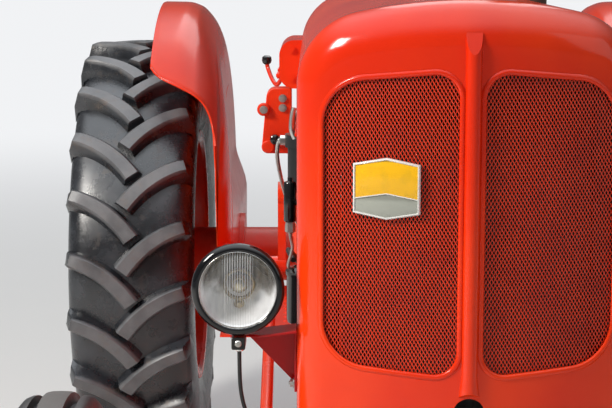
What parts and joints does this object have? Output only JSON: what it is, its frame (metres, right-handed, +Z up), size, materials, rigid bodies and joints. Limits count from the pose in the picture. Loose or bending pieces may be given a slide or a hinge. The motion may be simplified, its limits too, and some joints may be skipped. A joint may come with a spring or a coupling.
{
  "type": "farm tractor",
  "caption": "Row-crop farm tractor with rounded mesh-grille nose cowl, lugged rear tyres under crown fenders, ribbed front tyres, steering linkage, drawbar and headlamps.",
  "frame": {"origin": "centre of the bounding box on the ground plane", "axes": "+Z up, -Y is the front, +X is the tractor's own left"},
  "size_m": [1.855, 3.0617, 2.01],
  "materials": {
    "red_paint": "gloss",
    "mesh_paint": "satin",
    "tyre_rubber": "matte",
    "black_rubber": "matte",
    "badge_chrome": "polished",
    "black_gloss": "gloss",
    "black_paint": "satin",
    "lamp_glass": "clear",
    "exhaust_iron": "matte",
    "steel": "machined"
  },
  "bodies": {
    "chassis": {"air_cleaner": "red_paint", "axle_beam": "red_paint", "badge": "badge_chrome", "bonnet": "red_paint", "clutch_housing": "red_paint", "controls": "red_paint", "cylinder_head": "red_paint", "drawbar": "red_paint", "dynamo": "black_paint", "engine_block": "red_paint", "exhaust": "exhaust_iron", "fan_belt": "black_rubber", "fender_left": "red_paint", "fender_right": "red_paint", "footplates": "red_paint", "front_support": "red_paint", "fuel_filter": "black_paint", "gearbox_housing": "red_paint", "grille_mesh": "mesh_paint", "headlamp_glasses": "lamp_glass", "headlamp_rims": "black_gloss", "headlamp_shells": "red_paint", "injection_pump": "red_paint", "lamp_brackets": "red_paint", "lamp_leads": "black_rubber", "manifold": "exhaust_iron", "nose_cowl": "red_paint", "power_shaft": "red_paint", "radiator": "black_paint", "rear_axle_housing": "red_paint", "scuttle": "red_paint", "seat": "red_paint", "seat_spring": "red_paint", "starter_motor": "red_paint", "steering_box": "red_paint"},
    "knuckle_left": {"knuckle_left": "red_paint"},
    "knuckle_right": {"knuckle_right": "red_paint"},
    "front_wheel_left": {"front_tyre_left": "tyre_rubber", "front_rim_left": "red_paint"},
    "front_wheel_right": {"front_tyre_right": "tyre_rubber", "front_rim_right": "red_paint"},
    "rear_wheel_left": {"rear_tyre_left": "tyre_rubber", "rear_rim_left": "red_paint", "rear_disc_left": "red_paint", "axle_shaft_left": "steel"},
    "rear_wheel_right": {"rear_tyre_right": "tyre_rubber", "rear_rim_right": "red_paint", "rear_disc_right": "red_paint", "axle_shaft_right": "steel"},
    "track_rod": {"track_rod": "red_paint"},
    "drag_link": {"drag_link": "red_paint"},
    "drop_arm": {"drop_arm": "red_paint"},
    "steering_wheel": {"steering_wheel": "black_gloss"},
    "fan": {"fan": "red_paint"}
  },
  "joints": [
    {"name": "steer_right", "type": "hinge", "parent": "chassis", "child": "knuckle_right", "pos_m": [-0.6, -1.1525, 0.38], "axis": [0, 0, 1], "range_deg": [-35, 35]},
    {"name": "steer_left", "type": "hinge", "parent": "chassis", "child": "knuckle_left", "pos_m": [0.6, -1.1525, 0.38], "axis": [0, 0, 1], "range_deg": [-35, 35]},
    {"name": "track_rod_turn", "type": "hinge", "parent": "knuckle_right", "child": "track_rod", "pos_m": [-0.6, -1.0225, 0.3237], "axis": [0, 0, 1], "range_deg": [-35, 35]},
    {"name": "drag_link_turn", "type": "hinge", "parent": "knuckle_right", "child": "drag_link", "pos_m": [-0.5, -1.1525, 0.6956], "axis": [0, 0, 1], "range_deg": [-35, 35]},
    {"name": "drop_arm_swing", "type": "hinge", "parent": "chassis", "child": "drop_arm", "pos_m": [-0.332, 0.0425, 0.962], "axis": [1, 0, 0], "range_deg": [-18.6, 18.6]},
    {"name": "steering_wheel_turn", "type": "hinge", "parent": "chassis", "child": "steering_wheel", "pos_m": [0, 0.4275, 1.4], "axis": [0, 0.6602, 0.7511], "range_deg": [-455, 455]},
    {"name": "front_roll_left", "type": "hinge", "parent": "knuckle_left", "child": "front_wheel_left", "pos_m": [0.73, -1.1525, 0.38], "axis": [1, 0, 0], "continuous": true},
    {"name": "front_roll_right", "type": "hinge", "parent": "knuckle_right", "child": "front_wheel_right", "pos_m": [-0.73, -1.1525, 0.38], "axis": [1, 0, 0], "continuous": true},
    {"name": "rear_roll_left", "type": "hinge", "parent": "chassis", "child": "rear_wheel_left", "pos_m": [0.755, 0.8775, 0.655], "axis": [1, 0, 0], "continuous": true},
    {"name": "rear_roll_right", "type": "hinge", "parent": "chassis", "child": "rear_wheel_right", "pos_m": [-0.755, 0.8775, 0.655], "axis": [1, 0, 0], "continuous": true},
    {"name": "fan_spin", "type": "hinge", "parent": "chassis", "child": "fan", "pos_m": [0, -1.2705, 1.06], "axis": [0, 1, 0], "continuous": true}
  ],
  "couplings": [
    {"joint": "steer_left", "follows": "steer_right", "ratio": 1},
    {"joint": "track_rod_turn", "follows": "steer_right", "ratio": -1},
    {"joint": "drag_link_turn", "follows": "steer_right", "ratio": -1},
    {"joint": "drop_arm_swing", "follows": "steer_right", "ratio": 0.531},
    {"joint": "steering_wheel_turn", "follows": "steer_right", "ratio": 13}
  ]
}
